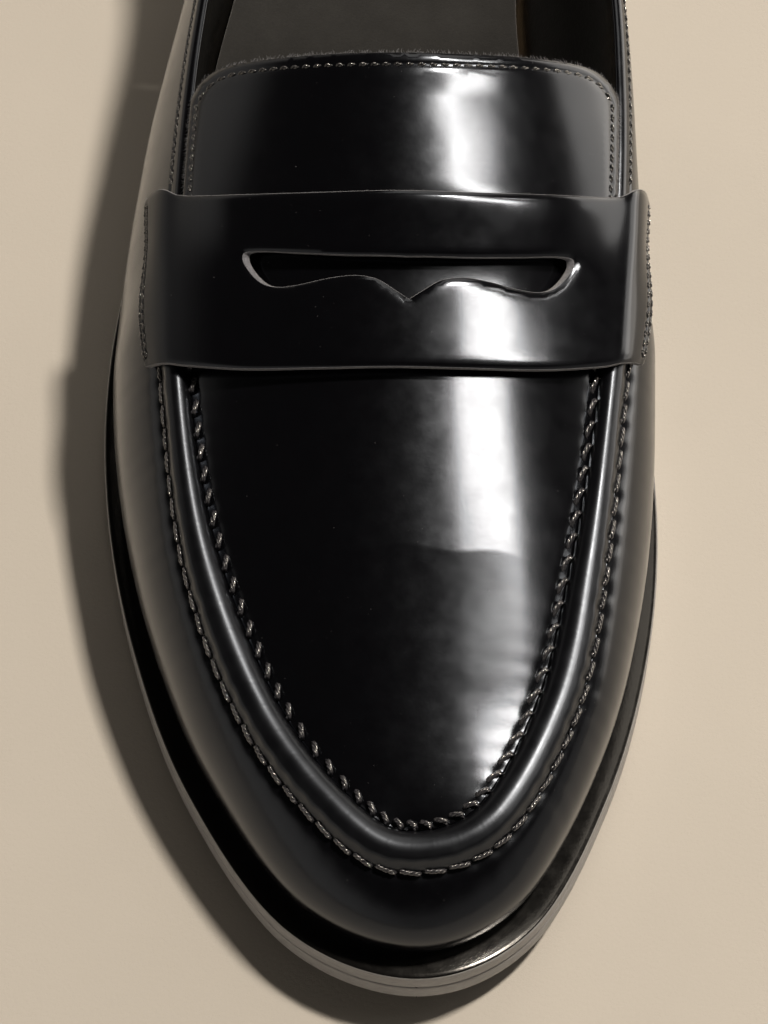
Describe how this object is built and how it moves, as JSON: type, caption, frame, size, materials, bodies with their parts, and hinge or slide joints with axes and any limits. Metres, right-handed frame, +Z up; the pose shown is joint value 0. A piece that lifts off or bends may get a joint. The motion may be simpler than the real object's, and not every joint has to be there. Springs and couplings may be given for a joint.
{
  "type": "penny loafer",
  "caption": "Black leather slip-on shoe for the right foot, with a raised moccasin seam, a saddle strap with a coin slot, a loose tongue and a low block heel.",
  "frame": {"origin": "centre of the outsole's bounding box, on the ground under the heel and ball", "axes": "+Y from the toe to the heel, +X to the inner (big toe) side, +Z up"},
  "size_m": [0.1122, 0.3, 0.09],
  "materials": {
    "outsole_rubber": "satin",
    "welt_leather": "satin edge-dressed",
    "heel_stack": "satin",
    "nail_brass": "satin",
    "cork_filler": "matte cork",
    "shank_steel": "brushed",
    "insole_fibre": "matte",
    "pad_foam": "matte foam",
    "sock_suede": "napped, matte",
    "upper_leather": "polished",
    "stiffener_fibre": "matte",
    "tape_cotton": "matte, dyed",
    "lining_leather": "satin",
    "grip_suede": "napped, matte",
    "apron_leather": "polished",
    "roll_leather": "polished",
    "strap_leather": "polished, raw grey cut edge",
    "tongue_leather": "polished, raw grey cut edge",
    "tongue_lining_suede": "napped, matte",
    "seam_thread": "waxed",
    "fine_thread": "waxed"
  },
  "bodies": {
    "shoe": {"outsole": "outsole_rubber", "welt": "welt_leather", "heel_lifts": "heel_stack", "heel_top_piece": "outsole_rubber", "heel_nails": "nail_brass", "bottom_filler": "cork_filler", "shank": "shank_steel", "insole_board": "insole_fibre", "heel_pad": "pad_foam", "sock_lining": "sock_suede", "vamp_wall": "upper_leather", "quarter_lateral": "upper_leather", "quarter_medial": "upper_leather", "backstay": "upper_leather", "toe_puff": "stiffener_fibre", "heel_counter": "stiffener_fibre", "topline_tape": "tape_cotton", "vamp_lining": "lining_leather", "apron_lining": "lining_leather", "quarter_lining_lateral": "lining_leather", "quarter_lining_medial": "lining_leather", "heel_grip": "grip_suede", "apron_plug": "apron_leather", "apron_roll": "roll_leather", "saddle_strap": "strap_leather", "seam_thread_inner": "seam_thread", "seam_thread_outer": "seam_thread", "strap_thread_lateral": "fine_thread", "strap_thread_medial": "fine_thread", "topline_thread": "fine_thread", "side_seam_thread": "fine_thread", "backstay_thread": "fine_thread"},
    "tongue": {"tongue": "tongue_leather", "tongue_lining": "tongue_lining_suede", "tongue_thread": "fine_thread"}
  },
  "joints": [
    {"name": "tongue_lift", "type": "hinge", "parent": "shoe", "child": "tongue", "pos_m": [0.0036, -0.0145, 0.0775], "axis": [1, 0, 0], "range_deg": [0, 25], "stiffness_Nm_per_rad": 0.05}
  ]
}
